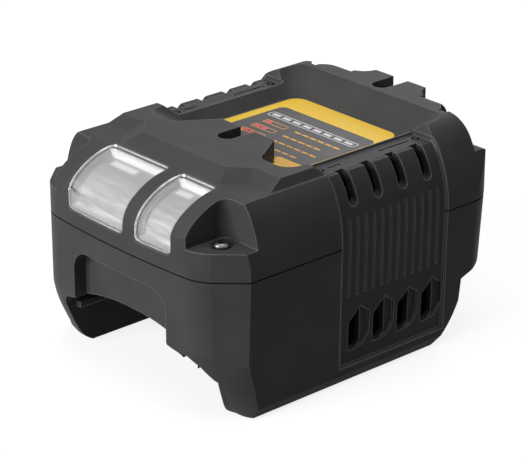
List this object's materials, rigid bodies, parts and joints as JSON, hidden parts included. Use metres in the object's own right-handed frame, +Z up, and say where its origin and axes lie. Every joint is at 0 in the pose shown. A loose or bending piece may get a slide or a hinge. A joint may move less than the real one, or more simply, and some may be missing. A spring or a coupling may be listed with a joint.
{
  "type": "battery charger",
  "caption": "Compact charger for slide-on tool battery packs, with a pack tunnel between two legs, two lamp windows in a curved front, side vents and a recessed label on top.",
  "frame": {"origin": "middle of the footprint, on the surface that the charger stands on", "axes": "-Y is the front with the lamp windows and the pack tunnel's mouth, +X the right side seen from the front, +Z up"},
  "size_m": [0.1166, 0.15, 0.0902],
  "materials": {
    "housing": "moulded black plastic, fine spark texture",
    "side_panel": "moulded black plastic, fine texture",
    "label": "printed vinyl, satin",
    "lens": "clear, polished",
    "lamp_box": "white, glossy",
    "led": "diffused resin",
    "board": "green solder mask",
    "housing_screw": "black oxide",
    "steel": "zinc plated",
    "rubber": "soft",
    "ferrite": "fired, dull",
    "coil_tape": "polyester tape",
    "copper": "enamelled",
    "capacitor": "shrink sleeve",
    "aluminium": "mill finish",
    "epoxy": "moulded epoxy",
    "fuse_glass": "clear",
    "nickel": "nickel plated",
    "fan": "moulded",
    "terminal_block": "moulded",
    "contact": "tinned",
    "inlet": "moulded",
    "wire": "insulation"
  },
  "bodies": {
    "housing": {"base_shell": "housing", "top_cover": "housing", "side_panel_right": "side_panel", "side_panel_left": "side_panel", "label": "label", "lens_wide": "lens", "lens_narrow": "lens", "lamp_box": "lamp_box", "led_board": "board", "lamp_leds": "led", "housing_screws": "housing_screw", "foot_pads": "rubber", "circuit_board": "board", "board_screws": "steel", "transformer_core": "ferrite", "transformer_coil": "coil_tape", "choke_core": "ferrite", "choke_winding": "copper", "main_capacitor": "capacitor", "output_capacitors": "capacitor", "heat_sink_primary": "aluminium", "heat_sink_secondary": "aluminium", "power_transistors": "epoxy", "bridge_rectifier": "epoxy", "fuse_tube": "fuse_glass", "fuse_caps": "nickel", "fuse_clips": "nickel", "fan_frame": "fan", "fan_bracket": "steel", "fan_screws": "steel", "terminal_block": "terminal_block", "terminal_blades": "contact", "inlet_socket": "inlet", "inlet_pins": "contact", "inlet_wires": "wire", "fan_wires": "wire", "lamp_wires": "wire"},
    "rotor": {"fan_rotor": "fan"}
  },
  "joints": [
    {"name": "fan_spin", "type": "hinge", "parent": "housing", "child": "rotor", "pos_m": [-0.036, 0.014, 0.0582], "axis": [1, 0, 0], "continuous": true}
  ]
}
